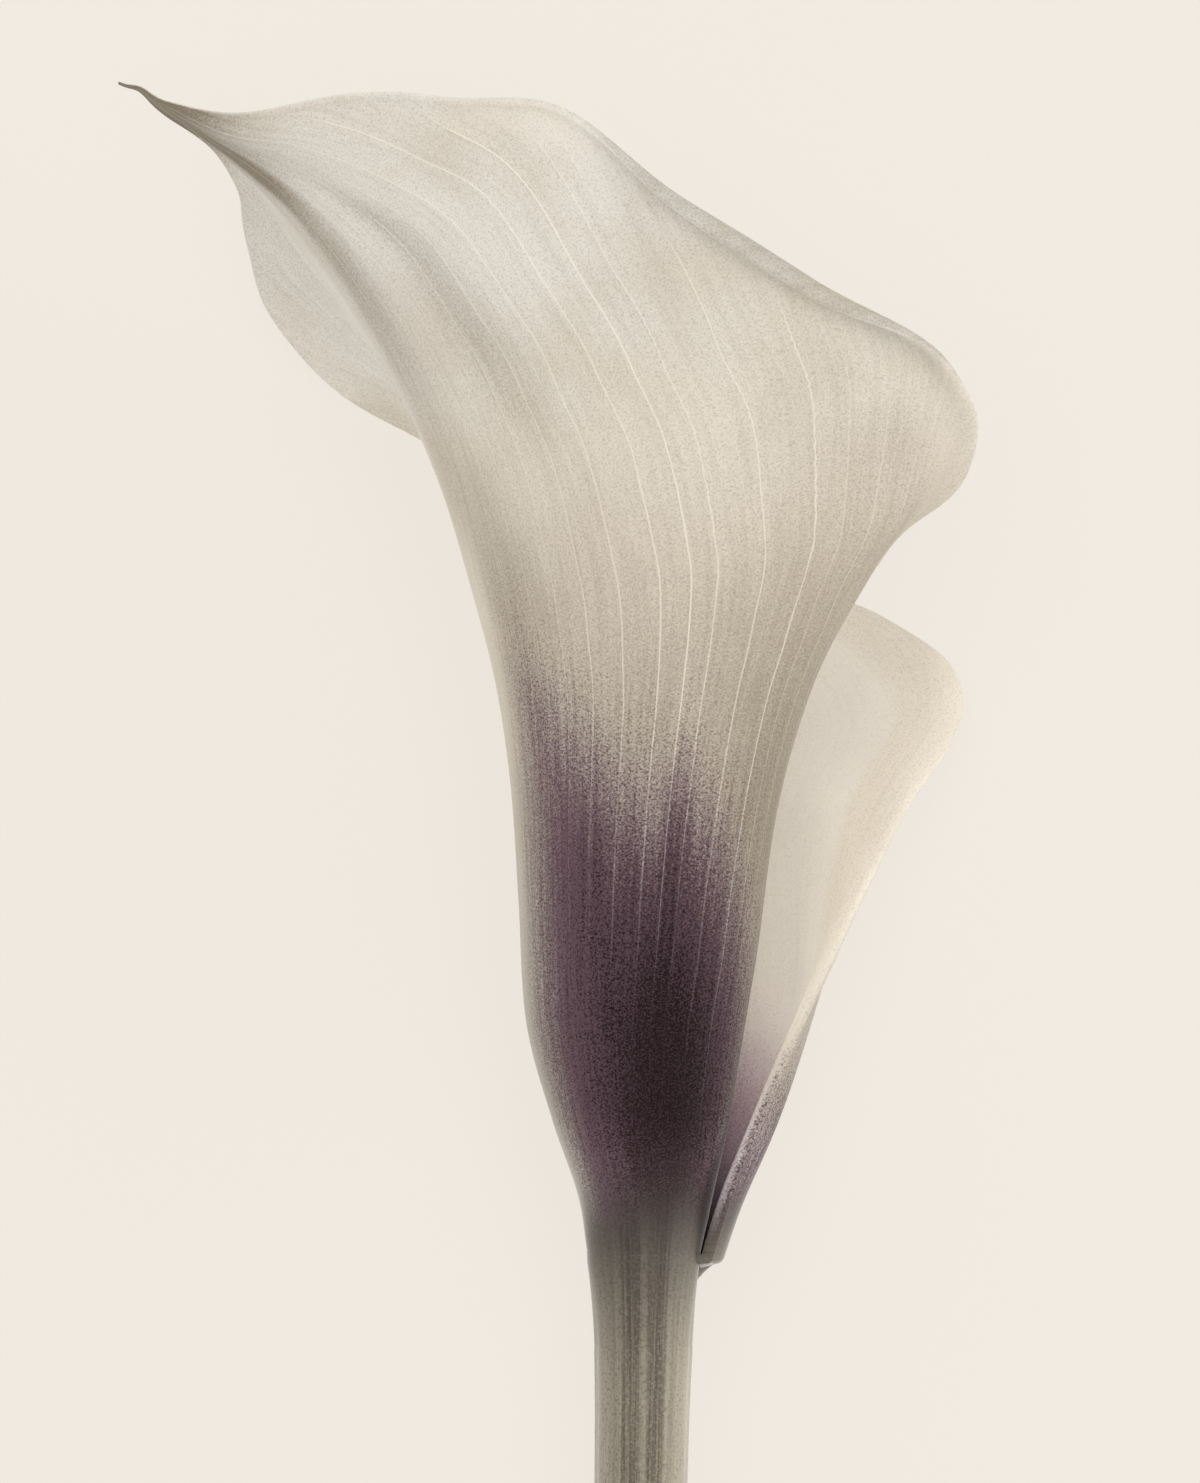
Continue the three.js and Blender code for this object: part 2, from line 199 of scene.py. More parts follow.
# Height in millimetres above the foot to which the purple of the throat reaches, from the midrib to each
# margin
NEAR_THROAT = [
    (0.0, 55), (0.12, 57), (0.17, 55), (0.22, 50.5), (0.3, 47.5), (0.34, 46), (0.39, 44), (0.43, 43.5),
    (0.48, 43), (0.5, 46), (0.52, 46.5), (0.55, 43), (0.6, 40.5), (0.65, 38), (0.73, 31), (0.85, 24),
    (1.0, 21),
]
FAR_THROAT = [(0.0, 50), (0.16, 50), (0.3, 44), (0.45, 34), (0.6, 20), (0.8, 15), (0.92, 12), (1.0, 11)]

# The stem with its core that stands inside the spathe, then the spadix on that core, and both middle lines
STEM_LENGTH = 170.0
STEM_END_RADIUS = 4.65
STEM_TOP_RADIUS = 5.75
STEM_FLARE_LENGTH = 8.0
STEM_RIBS = 12
STEM_RIB_DEPTH = 0.12
STEM_FINE_RIBS = 60
STEM_FINE_RIB_DEPTH = 0.025
# How far the fine ribs stray in radians of their own turn, and how often along the stem
FINE_RIB_WANDER = 0.6
FINE_RIB_TURNS = 9
CORE_RADIUS = 3.9
CORE_TIP_RADIUS = 3.1
CORE_TOP = 6.0
GAP = 0.3
SPADIX_LENGTH = 48.0
SPADIX_RADIUS = 3.3
SPADIX_TIP_RADIUS = 2.3
SPADIX_ROUND_FROM = 0.93
SPADIX_END_RADIUS = 0.6
FLORET_HEIGHT = 0.35
FLORET_ROWS = 26
FLORETS_ROUND = 11
LOBE_SHARE = 0.35
DIMPLE_SHARE = 0.3
DIMPLE_SPREAD = 0.008
FLORETS_END = 0.01
# Each floret takes its tone from a square table of chances
FLORET_SEED = 7
CHANCES = 66
STEM_LINE = [
    (0.8, -STEM_LENGTH, STEM_END_RADIUS), (0.3, -130, 10.6), (-0.1, -85, 16.6), (-0.1, -40, 21.4),
    (0.5, 0, 24.3),
]
SPADIX_LINE = [
    (0.6, CORE_TOP + GAP, 24.7), (0.7, 20, 25.4), (0.2, 36, 26.4),
    (-0.6, CORE_TOP + GAP + SPADIX_LENGTH, 27.6),
]
STEM_SIDES = 240
STEM_STEPS = 150
STEM_STEP_CROWDING = 1.3
LINE_SAMPLES = 400
CUT_RINGS = 40
CUT_HOLLOW = 0.35
CUT_HOLLOW_POWER = 6
CUT_RIPPLE = 0.04
CUT_RIPPLE_TURNS = 40
SPADIX_SIDES = 264
SPADIX_STEPS = 312

# Side of the sheet of paper in metres, and how far in millimetres it lies under the flower
FLOOR_SIZE = 6.0
FLOOR_GAP = 0.05
# The camera looks straight down and frames 148.3 mm from top to bottom at the height of the flower's middle
VIEW_HEIGHT = 148.3
VIEW_CENTRE = (-4.0, 52.05, 30.0)
LENS = 400.0
SENSOR = 36.0
LAMP_TONE = 0xFFFCF7


def colour(code):
    """Linear colour with alpha 1 from an sRGB hex number: each channel c below 0.04045 becomes c / 12.92
    and any other ((c + 0.055) / 1.055) to the power 2.4."""
    channels = [((code >> shift) & 255) / 255 for shift in (16, 8, 0)]
    linear = [c / 12.92 if c <= 0.04045 else ((c + 0.055) / 1.055) ** 2.4 for c in channels]
    return (*linear, 1.0)


def spline(values, t):
    """Catmull-Rom through equally spaced numbers or points, with t from 0 to 1 over them."""
    values = np.array(values, float)
    flat = values.ndim == 1
    if flat:
        values = values[:, None]
    before = 2 * values[:1] - values[1:2]
    after = 2 * values[-1:] - values[-2:-1]
    knots = np.vstack([before, values, after])
    last = len(values) - 1
    place = np.clip(t, 0, 1) * last
    i = np.minimum(np.floor(place).astype(int), last - 1)
    f = (place - i)[..., None]
    a, b, c, d = knots[i], knots[i + 1], knots[i + 2], knots[i + 3]
    cubic = 3 * b - a - 3 * c + d
    square = 2 * a - 5 * b + 4 * c - d
    result = 0.5 * (2 * b + (c - a) * f + square * f**2 + cubic * f**3)
    return result[..., 0] if flat else result


def unit(vectors):
    """Vectors divided by their lengths."""
    return vectors / np.linalg.norm(vectors, axis=-1, keepdims=True)


def half_row(across, start, end, reach):
    """One half of a row, seen from the midrib: the cubic that sets out along start, runs off along end and
    crosses to the margin as reach goes from 0 to 1."""
    width = np.linalg.norm(across, axis=-1, keepdims=True)
    r = reach[..., None]
    return (
        across * (3 * r**2 - 2 * r**3)
        + start * width * (r**3 - 2 * r**2 + r)
        + end * width * (r**3 - r**2)
    )


def leaf_points(side, v):
    """Points of the leaf between its lips. A row is a near half and a far half on either side of the
    midrib, each taken at the rounded positive part of its side, less a groove with a bell-shaped
    section."""
    midrib = spline(MIDRIB, v)
    near = (-side + np.hypot(side, FOLD_ROUND)) / 2
    far = (side + np.hypot(side, FOLD_ROUND)) / 2
    near_across = spline(NEAR_MARGIN, v) - midrib
    far_across = spline(FAR_MARGIN, v) - midrib
    points = midrib + half_row(near_across, spline(NEAR_START, v), spline(NEAR_END, v), near)
    points += half_row(far_across, spline(FAR_START, v), spline(FAR_END, v), far)
    away = (-side - GROOVE_PLACE) / GROOVE_WIDTH
    along = np.clip((v - GROOVE_FROM) / (GROOVE_TO - GROOVE_FROM), 0, 1)
    points[..., 2] -= GROOVE_DEPTH * np.sin(np.pi * along) ** 2 * np.exp(-(away**2))
    return points


def lip_points(sign, v, along):
    """Points of the rolled lip: from the margin the leaf goes on square to it, as an arc that turns
    outward. Its radius is the lip's length over its angle."""
    step = 1e-3
    edge = leaf_points(np.full_like(v, sign), v)
    above = leaf_points(np.full_like(v, sign), np.minimum(v + step, 1))
    below = leaf_points(np.full_like(v, sign), np.maximum(v - step, 0))
    rim = unit(above - below)
    outward = edge - leaf_points(np.full_like(v, sign * (1 - step)), v)
    outward = unit(outward - rim * np.sum(outward * rim, axis=-1, keepdims=True))
    back = -sign * np.cross(outward, rim)
    length = np.maximum(spline(NEAR_LIP if sign < 0 else FAR_LIP, v), LEAST_LIP)
    curl = np.radians(np.maximum(spline(NEAR_CURL if sign < 0 else FAR_CURL, v), LEAST_CURL))
    radius = (length / curl)[..., None]
    turned = (curl * along)[..., None]
    return edge + outward * radius * np.sin(turned) + back * radius * (1 - np.cos(turned))


def leaf_grid(rows, half_columns, lip_columns, tip_end):
    """The leaf's middle surface as rows of points, with the side, the share of the lip and the height of
    each."""
    k = np.arange(-half_columns - lip_columns, half_columns + lip_columns + 1)
    reach = np.minimum(np.abs(k) / half_columns, 1) ** COLUMN_CROWDING
    lip = np.maximum(np.abs(k) - half_columns, 0) / lip_columns
    v, side = np.meshgrid(np.linspace(0, tip_end, rows + 1), np.sign(k) * reach, indexing="ij")
    along = np.broadcast_to(lip, side.shape)
    points = leaf_points(side, v)
    near = k < -half_columns
    far = k > half_columns
    points[:, near] = lip_points(-1, v[:, near], along[:, near])
    points[:, far] = lip_points(1, v[:, far], along[:, far])
    return points, side, along, v


def grid_normals(points):
    """Unit normals of a grid of points, from the differences of their neighbours, towards the outer face."""
    up = np.empty_like(points)
    up[1:-1] = points[2:] - points[:-2]
    up[0] = points[1] - points[0]
    up[-1] = points[-1] - points[-2]
    across = np.empty_like(points)
    across[:, 1:-1] = points[:, 2:] - points[:, :-2]
    across[:, 0] = points[:, 1] - points[:, 0]
    across[:, -1] = points[:, -1] - points[:, -2]
    return unit(np.cross(up, across))


def leaf_thickness(side, v):
    """Thickness of the leaf: it falls from the foot to the rim as a power of 1 - v, with a rib along the
    midrib that has a bell-shaped section."""
    flesh = (1 - v) ** THINNING_POWER
    rib = MIDRIB_THICKNESS * np.exp(-((side / MIDRIB_WIDTH) ** 2)) * (1 - v)
    return RIM_THICKNESS + (FOOT_THICKNESS - RIM_THICKNESS) * flesh + rib


def frame_shift():
    """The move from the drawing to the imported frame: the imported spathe's highest corner less the same
    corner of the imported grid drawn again."""
    points, side, _, v = leaf_grid(CAD_ROWS, CAD_HALF_COLUMNS, CAD_LIP_COLUMNS, TIP_END)
    offset = grid_normals(points) * (leaf_thickness(side, v) / 2)[..., None]
    corner = np.maximum(points + offset, points - offset).reshape(-1, 3).max(axis=0)
    return np.array(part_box("spathe")[1]) / MILLIMETRE - corner


SHIFT = frame_shift()


def link_object(name, data):
    """An object with this mesh, lamp or camera, linked to the scene."""
    made = bpy.data.objects.new(name, data)
    bpy.context.scene.collection.objects.link(made)
    return made


def new_object(name, points, faces, attributes, material):
    """A smooth object at the origin from points in millimetres of the drawing, faces, and named values per
    point, each one number or three."""
    mesh = bpy.data.meshes.new(name)
    placed = (points.reshape(-1, 3) + SHIFT) * MILLIMETRE
    mesh.from_pydata(placed.tolist(), [], faces)
    for key, values in attributes.items():
        single = values.ndim == 1
        layer = mesh.attributes.new(key, "FLOAT" if single else "FLOAT_VECTOR", "POINT")
        layer.data.foreach_set("value" if single else "vector", values.astype(np.float32).ravel())
    mesh.shade_smooth()
    mesh.validate()
    mesh.materials.append(material)
    return link_object(name, mesh)


def grid_faces(rows, columns, first=0, closed=False):
    """Quads between the points of a grid, row by row. A closed grid joins its last column to its first."""
    row, column = np.meshgrid(np.arange(rows - 1), np.arange(columns - (0 if closed else 1)), indexing="ij")
    following = (column + 1) % columns
    low = first + row * columns
    high = low + columns
    quads = np.stack([low + column, high + column, high + following, low + following], axis=-1)
    return quads.reshape(-1, 4)


def add_node(tree, kind, inputs=None, **settings):
    """Adds a shader node with its settings, and fills each named input with a value, or with a link from a
    socket or from the first output of a node."""
    node = tree.nodes.new("ShaderNode" + kind)
    for name, value in settings.items():
        setattr(node, name, value)
    for name, value in (inputs or {}).items():
        socket = node.inputs[name]
        if isinstance(value, bpy.types.Node):
            value = value.outputs[0]
        if isinstance(value, bpy.types.NodeSocket):
            tree.links.new(value, socket)
        else:
            socket.default_value = value
    return node


def new_material(name):
    """An empty node material and its tree."""
    material = bpy.data.materials.new(name)
    material.use_nodes = True
    material.node_tree.nodes.clear()
    return material, material.node_tree


def stem_radius(t):
    """Radius of the stem: the cut end's, widening to the top's as the exponential of the distance from the
    top."""
    flare = np.exp((t - 1) * STEM_LENGTH / STEM_FLARE_LENGTH)
    return STEM_END_RADIUS + (STEM_TOP_RADIUS - STEM_END_RADIUS) * flare


def stem_ribs(angle, t):
    """Depth of the stem's ribs and of the finer ribs on them: both follow the cosine of their number times
    the angle, and the fine ones wander a little along the stem."""
    wander = FINE_RIB_WANDER * np.sin(t * FINE_RIB_TURNS)
    ribs = STEM_RIB_DEPTH * (0.5 - 0.5 * np.cos(STEM_RIBS * angle))
    return ribs + STEM_FINE_RIB_DEPTH * (0.5 - 0.5 * np.cos(STEM_FINE_RIBS * angle + wander))


def stem_view(points):
    """Where points lie as seen from the stem: the share of its middle line at their height, and their
    direction and angle about that line."""
    line_t = np.linspace(0, 1, LINE_SAMPLES)
    line = spline(STEM_LINE, line_t)
    t = np.interp(points[..., 1], line[:, 1], line_t)
    out = points - spline(STEM_LINE, t)
    out[..., 1] = 0
    return t, out, np.arctan2(out[..., 2], out[..., 0])


def stem_attributes(points):
    """Values that the stem's tones are laid out by: cosine and sine of the angle about its middle line
    times its radius, the height above the foot of the spathe, and how near the crest of a rib a point
    is."""
    points = points.reshape(-1, 3)
    _, _, angle = stem_view(points)
    skin = np.stack([np.cos(angle) * STEM_END_RADIUS, np.sin(angle) * STEM_END_RADIUS, points[:, 1]], axis=-1)
    return {"stem_skin": skin, "stem_rib": 0.5 + 0.5 * np.cos(STEM_RIBS * angle)}


def sleeve_points(foot, side):
    """Rows that carry the foot of the leaf down over the stem. Each column keeps its direction from the
    stem's middle line, and its outer face eases from its own distance at the foot to just under the ribbed
    skin. The middle surface lies half the thickness further in."""
    _, out, angle = stem_view(foot)
    half = leaf_thickness(side, np.zeros_like(side)) / 2
    lift = np.linalg.norm(out, axis=-1) + half - STEM_TOP_RADIUS
    before_ear = np.clip((EAR_FROM - side) / EAR_SPAN, 0, 1)
    corner = np.sqrt(1 - np.clip((side - EAR_FROM) / EAR_CORNER, 0, 1) ** 2)
    length = EAR_SLEEVE_LENGTH * corner + (SLEEVE_LENGTH - EAR_SLEEVE_LENGTH) * before_ear
    share = np.linspace(1, 0, SLEEVE_ROWS, endpoint=False)[:, None]
    points = np.repeat(foot[None], SLEEVE_ROWS, axis=0)
    points[..., 1] -= share * length
    t, _, _ = stem_view(points)
    ease = share**2 * (3 - 2 * share)
    outer = stem_radius(t) + lift * (1 - ease) - (stem_ribs(angle, t) + SLEEVE_SINK) * ease
    middle = outer - half * (1 - SLEEVE_THINNING * share)
    placed = spline(STEM_LINE, t) + unit(out)[None] * middle[..., None]
    placed[..., 1] = points[..., 1]
    return placed, -share


def vein_share(reach, v):
    """The place at the leaf's foot from which a vein reaches this point. Above the mouth the veins fan
    outward: reach divided by 1 plus reach times the fan times the height above the mouth."""
    above = (v - VEIN_FAN_FROM + np.hypot(v - VEIN_FAN_FROM, VEIN_FAN_ROUND)) / 2
    return reach / (1 + VEIN_FAN * above * reach)


def bell(value, middle, width):
    """Bell-shaped bump of height 1."""
    return np.exp(-(((value - middle) / width) ** 2))


def rise(value, start, end):
    """Smooth step from 0 at start to 1 at end."""
    share = np.clip((value - start) / (end - start), 0, 1)
    return share**2 * (3 - 2 * share)


def leaf_attributes(points, side, v):
    """Values that the leaf's material reads: where a point is among the fibres, along the leaf and from its
    rim, its place among the veins, and how deep in the purple throat it is."""
    steps = np.linalg.norm(np.diff(points, axis=1), axis=-1)
    run = np.concatenate([np.zeros((len(points), 1)), np.cumsum(steps, axis=1)], axis=1)
    middle = points.shape[1] // 2
    across = run - run[:, middle : middle + 1]
    rim = np.minimum(run, run[:, -1:] - run)
    climbs = np.linalg.norm(np.diff(points[:, middle], axis=0), axis=-1)
    climb = np.broadcast_to(np.concatenate([[0], np.cumsum(climbs)])[:, None], side.shape)
    first = LEAF_LIP_COLUMNS
    last = points.shape[1] - 1 - LEAF_LIP_COLUMNS
    reach = np.abs(side)
    reach[:, :first] = np.abs(across[:, :first] / across[:, first : first + 1])
    reach[:, last:] = across[:, last:] / across[:, last : last + 1]
    share = vein_share(reach, np.maximum(v, 0))
    phase = np.interp(share, VEIN_PLACES, np.arange(len(VEIN_PLACES)))
    strength = np.interp(share, VEIN_PLACES, VEIN_STRENGTHS) * np.where(side > 0, FAR_VEIN_SHARE, 1)
    slope = np.abs(np.gradient(phase, axis=1)) / np.maximum(np.abs(np.gradient(across, axis=1)), 1e-6)
    gap = np.clip(1 / np.maximum(slope, 1e-6), NARROWEST_VEIN_GAP, WIDEST_VEIN_GAP)
    near = np.interp(np.abs(side), *zip(*NEAR_THROAT))
    far = np.interp(np.abs(side), *zip(*FAR_THROAT))
    throat = np.where(side < 0, near, far) - points[..., 1]
    strength = strength + 0.3 * rise(v, 0.7, 0.82) * (1 - rise(reach, 0.2, 0.45))
    strength = strength * (1 - 0.85 * rise(throat, 0, 26)) * (1 - 0.5 * rise(v, 0.86, 0.97))
    strength = strength * (1 - rise(reach, 0.9, 1.0))
    place = np.stack([np.sign(side) * share * FIBRE_SPREAD, climb, rim], axis=-1)
    veins = np.stack([np.sign(side) * phase, gap, strength], axis=-1)
    return place, veins, throat


def leaf_painted_shade(side, v):
    """Painted shade on the leaf, from 0 to 1 of grey: along the crease of the midrib, in the groove,
    round the tube of the near half and down both its sides and over the flare. It is also greyer towards
    the tip and over the far half. Painted light makes it paler where the tube turns over at the midrib,
    over the far lobe and along the upper and the right rim."""
    # Painted shade: greyer in the crease, the groove, round the tube, down its sides and over the flare
    crease = 0.3 * bell(side, -0.07, 0.07) + 0.1 * bell(side, -0.02, 0.03) + 0.12 * bell(side, 0.12, 0.12)
    crease = crease * rise(v, 0.42, 0.72) * (1 + 0.9 * rise(v, 0.72, 0.8))
    groove = 0.2 * bell(-side, GROOVE_PLACE, 0.08) * rise(v, 0.46, 0.62) * (1 - rise(v, 0.72, 0.8))
    tube = 0.26 * rise(v, 0.52, 0.32) * rise(-side, 0.02, 0.2)
    left = 0.2 * bell(side, -0.14, 0.09) * bell(v, 0.43, 0.07)
    right = 0.12 * bell(side, -0.72, 0.12) * bell(v, 0.26, 0.08)
    flare = 0.08 * rise(-side, 0.55, 0.95) * bell(v, 0.45, 0.09)
    tip = 0.95 * rise(v, 0.83, 0.97)
    beside = 0.28 * bell(side, -0.2, 0.24) * rise(v, 0.74, 0.84)
    far = 0.07 * rise(side, 0.4, 0.8) * bell(v, 0.74, 0.08)
    # Painted light: paler at the tube's edge along the midrib, over the far lobe and along the rims
    flank = 0.24 * bell(side, -0.03, 0.05) * rise(v, 0.5, 0.4)
    lobe = 0.1 * rise(side, 0.62, 1.0) * bell(v, 0.63, 0.1)
    upper_rim_light = 0.2 * rise(-side, 0.88, 1.0) * rise(v, 0.64, 0.68) * (1 - rise(v, 0.7, 0.77))
    right_rim_light = 0.22 * rise(-side, 0.9, 1.0) * bell(v, 0.4, 0.13)
    darker = crease + groove + tube + left + right + flare + tip + beside + far
    return np.clip(OUTER_PAINTED_SHADE + darker - flank - lobe - upper_rim_light - right_rim_light, 0, 1)


def inner_painted_shade(side, v):
    """Painted shade on the inner face by itself: where it rolls over at the near rim, and a painted fold
    shadow beside the slit."""
    # Painted shade on the rolled lip, and a painted fold shadow beside the slit
    rolled = 0.36 * rise(-side, 0.93, 1.0) * rise(v, 0.47, 0.51) * (1 - rise(v, 0.66, 0.7))
    return rolled + 0.34 * bell(side, 0.8, 0.06) * bell(v, 0.19, 0.05)


def leaf_dye(side, v, inside):
    """How much of the purple, of its darkest tone and of the mauve a point takes. The purple fades along
    the midrib, partly as painted light at the tube's edge, and towards the near margin. The inner face
    of the far half, seen through the slit, is mauve, and the rim of that half stays lighter above the foot."""
    flush = np.where(side < 0, rise(-side, 0.05, 0.27), rise(side, 0.0, 0.1))
    dark = np.where(side < 0, rise(-side, 0.12, 0.5), rise(side, 0.03, 0.2))
    flush = flush * (1 - 0.45 * rise(-side, 0.72, 0.9))
    dark = dark * (1 - 0.65 * rise(-side, 0.6, 0.86))
    rim = rise(side, 0.87, 0.95) * rise(v, 0.085, 0.14)
    mauve = inside * rise(side, 0.3, 0.6)
    dark = dark * (1 - 0.8 * rim)
    return np.stack([flush * (1 - mauve), dark * (1 - mauve), mauve * (1 - 0.75 * rim)], axis=-1)


def leaf_relief(veins, place, side, v):
    """How far the middle of the leaf stands off its smooth form: low ridges over the veins and a slight wave
    along the rim that dies out within a few millimetres."""
    from_vein = np.abs(veins[..., 0] - np.round(veins[..., 0])) * veins[..., 1]
    ridge = VEIN_RELIEF * veins[..., 2] * bell(from_vein, 0, VEIN_RELIEF_WIDTH)
    wave = RIM_WAVE[0] * np.sin(place[..., 1] / RIM_WAVE[1] + 4 * side)
    wave = wave + RIM_RIPPLE[0] * np.sin(place[..., 1] / RIM_RIPPLE[1] + 1)
    wave = wave * np.exp(-place[..., 2] / RIM_WAVE_REACH)
    return (ridge + wave) * rise(v, 0.1, 0.4) * (1 - rise(v, 0.8, 0.95))


def build_spathe(material):
    """The spathe as a closed shell: both faces lie half the leaf's thickness from its middle surface, thinner
    towards the very edge, and four strips close the shell. The last rows are pinched to a sharp tip."""
    points, side, along, v = leaf_grid(LEAF_ROWS, LEAF_HALF_COLUMNS, LEAF_LIP_COLUMNS, LEAF_TIP_END)
    midrib = points[:, points.shape[1] // 2, None]
    pinch = 1 - TIP_PINCH * rise(v, TIP_PINCH_FROM, 1)
    points = midrib + (points - midrib) * pinch[..., None]
    points[..., 1] += TIP_FLICK * bell(v, TIP_FLICK_AT, TIP_FLICK_WIDTH)
    sleeve, below = sleeve_points(points[0], side[0])
    points = np.concatenate([sleeve, points])
    side = np.concatenate([np.repeat(side[:1], SLEEVE_ROWS, axis=0), side])
    along = np.concatenate([np.repeat(along[:1], SLEEVE_ROWS, axis=0), along])
    v = np.concatenate([below * np.ones_like(side[:1]), v])
    place, veins, throat = leaf_attributes(points, side, v)
    outer_throat_and_shade = np.stack([throat, leaf_painted_shade(side, v), points[..., 1]], axis=-1)
    # The inner face keeps a share of the painted shade and takes its own painted shade
    inner_throat_and_shade = outer_throat_and_shade * [1, INNER_PAINTED_SHADE_SHARE, 1]
    inner_throat_and_shade[..., 1] += inner_painted_shade(side, v)
    normals = grid_normals(points)
    points = points + normals * leaf_relief(veins, place, side, v)[..., None]
    to_edge = np.clip((1 - along) / EDGE_ROUND, 0, 1)
    edge = EDGE_THINNING + (1 - EDGE_THINNING) * np.sqrt(1 - (1 - to_edge) ** 2)
    flesh = leaf_thickness(side, np.maximum(v, 0)) * (1 + SLEEVE_THINNING * np.minimum(v, 0))
    flesh = flesh + (TIP_THICKNESS - flesh) * rise(v, TIP_THINNING_FROM, 1)
    half = (flesh / 2 * edge)[..., None]
    faces = np.concatenate([points + normals * half, points - normals * half]).reshape(-1, 3)
    attributes = {
        "leaf_place": np.tile(place.reshape(-1, 3), (2, 1)),
        "leaf_veins": np.tile(veins.reshape(-1, 3), (2, 1)),
        "leaf_throat_shade_height": np.concatenate([outer_throat_and_shade.reshape(-1, 3), inner_throat_and_shade.reshape(-1, 3)]),
        "leaf_dye": np.concatenate([leaf_dye(side, v, face).reshape(-1, 3) for face in (0, 1)]),
        **stem_attributes(faces),
    }
    return new_object("calla_spathe", faces, shell_faces(*side.shape), attributes, material)


def shell_faces(rows, columns):
    """Faces of a closed shell whose points are an outer grid followed by the matching inner one: both
    grids, and a strip along each of their four edges."""
    count = rows * columns
    low = grid_faces(rows, columns)
    faces = [low, low[:, ::-1] + count]
    for line, flip in (
        (np.arange(columns), False),
        (np.arange(columns) + (rows - 1) * columns, True),
        (np.arange(rows) * columns, True),
        (np.arange(rows) * columns + columns - 1, False),
    ):
        strip = np.stack([line[:-1], line[1:], line[1:] + count, line[:-1] + count], axis=-1)
        faces.append(strip[:, ::-1] if flip else strip)
    return np.concatenate(faces).tolist()


def ring_points(line, t, radius, angle):
    """Points round a line at t: the radius times the cosine of the angle sideways and times its sine
    upward, both square to the line."""
    step = 1e-3
    centre = spline(line, t)
    direction = unit(spline(line, np.minimum(t + step, 1)) - spline(line, np.maximum(t - step, 0)))
    sideways = unit(np.array([1.0, 0, 0]) - direction * direction[..., :1])
    upward = unit(np.cross(sideways, direction))
    return (
        centre[:, None]
        + sideways[:, None] * (radius * np.cos(angle))[..., None]
        + upward[:, None] * (radius * np.sin(angle))[..., None]
    )


def spadix_radius(t):
    """Radius between the florets: a straight taper, with an elliptic end over the last part."""
    taper = SPADIX_RADIUS + (SPADIX_TIP_RADIUS - SPADIX_RADIUS) * t
    end = np.clip((t - SPADIX_ROUND_FROM) / (1 - SPADIX_ROUND_FROM), 0, 1)
    return np.maximum(taper * np.sqrt(1 - end**2), SPADIX_END_RADIUS)


def build_spadix(material):
    """The spadix: a tapering core with florets packed in a spiral. Each floret is a dome, the square of a
    product of two cosines, and carries four small lobes and a dimple in its middle."""
    t = np.linspace(0, 1, SPADIX_STEPS + 1)
    angle = np.linspace(0, 2 * np.pi, SPADIX_SIDES, endpoint=False)[None, :]
    row = t[:, None] * FLORET_ROWS
    twist = angle / (2 * np.pi) * FLORETS_ROUND
    first = twist + row / 2
    second = twist - row / 2
    dome = (np.cos(np.pi * first) * np.cos(np.pi * second)) ** 2
    a = first - np.round(first)
    b = second - np.round(second)
    lobes = (np.sin(2 * np.pi * a) * np.sin(2 * np.pi * b)) ** 2
    dimple = np.exp(-(a**2 + b**2) / DIMPLE_SPREAD)
    height = FLORET_HEIGHT * (dome + LOBE_SHARE * lobes * dome - DIMPLE_SHARE * dimple)
    last = np.clip((1 - t) / FLORETS_END, 0, 1)[:, None]
    radius = spadix_radius(t)[:, None] + height * last
    rings = ring_points(SPADIX_LINE, t, radius, angle)
    chance = np.random.default_rng(FLORET_SEED).random((CHANCES, CHANCES))
    tone = chance[np.round(first).astype(int) % CHANCES, np.round(second).astype(int) % CHANCES]
    grain = np.stack([dome, tone, np.broadcast_to(t[:, None], dome.shape)], axis=-1).reshape(-1, 3)
    ends = spline(SPADIX_LINE, np.array([0.0, 1.0]))
    attributes = {"floret": np.vstack([grain, [[0, 0, 0], [0, 0, 1]]])}
    return capped_tube("calla_spadix", rings, ends, attributes, material)


def capped_tube(name, rings, ends, attributes, material):
    """A closed surface through rings of points, with a fan from each end's own point."""
    steps, sides, _ = rings.shape
    count = steps * sides
    quads = grid_faces(steps, sides, closed=True)
    around = np.arange(sides)
    following = (around + 1) % sides
    start = np.stack([following, around, np.full(sides, count)], axis=-1)[:, ::-1]
    last = around + (steps - 1) * sides
    after_last = following + (steps - 1) * sides
    end = np.stack([last, after_last, np.full(sides, count + 1)], axis=-1)[:, ::-1]
    faces = quads.tolist() + start.tolist() + end.tolist()
    return new_object(name, np.concatenate([rings.reshape(-1, 3), ends]), faces, attributes, material)


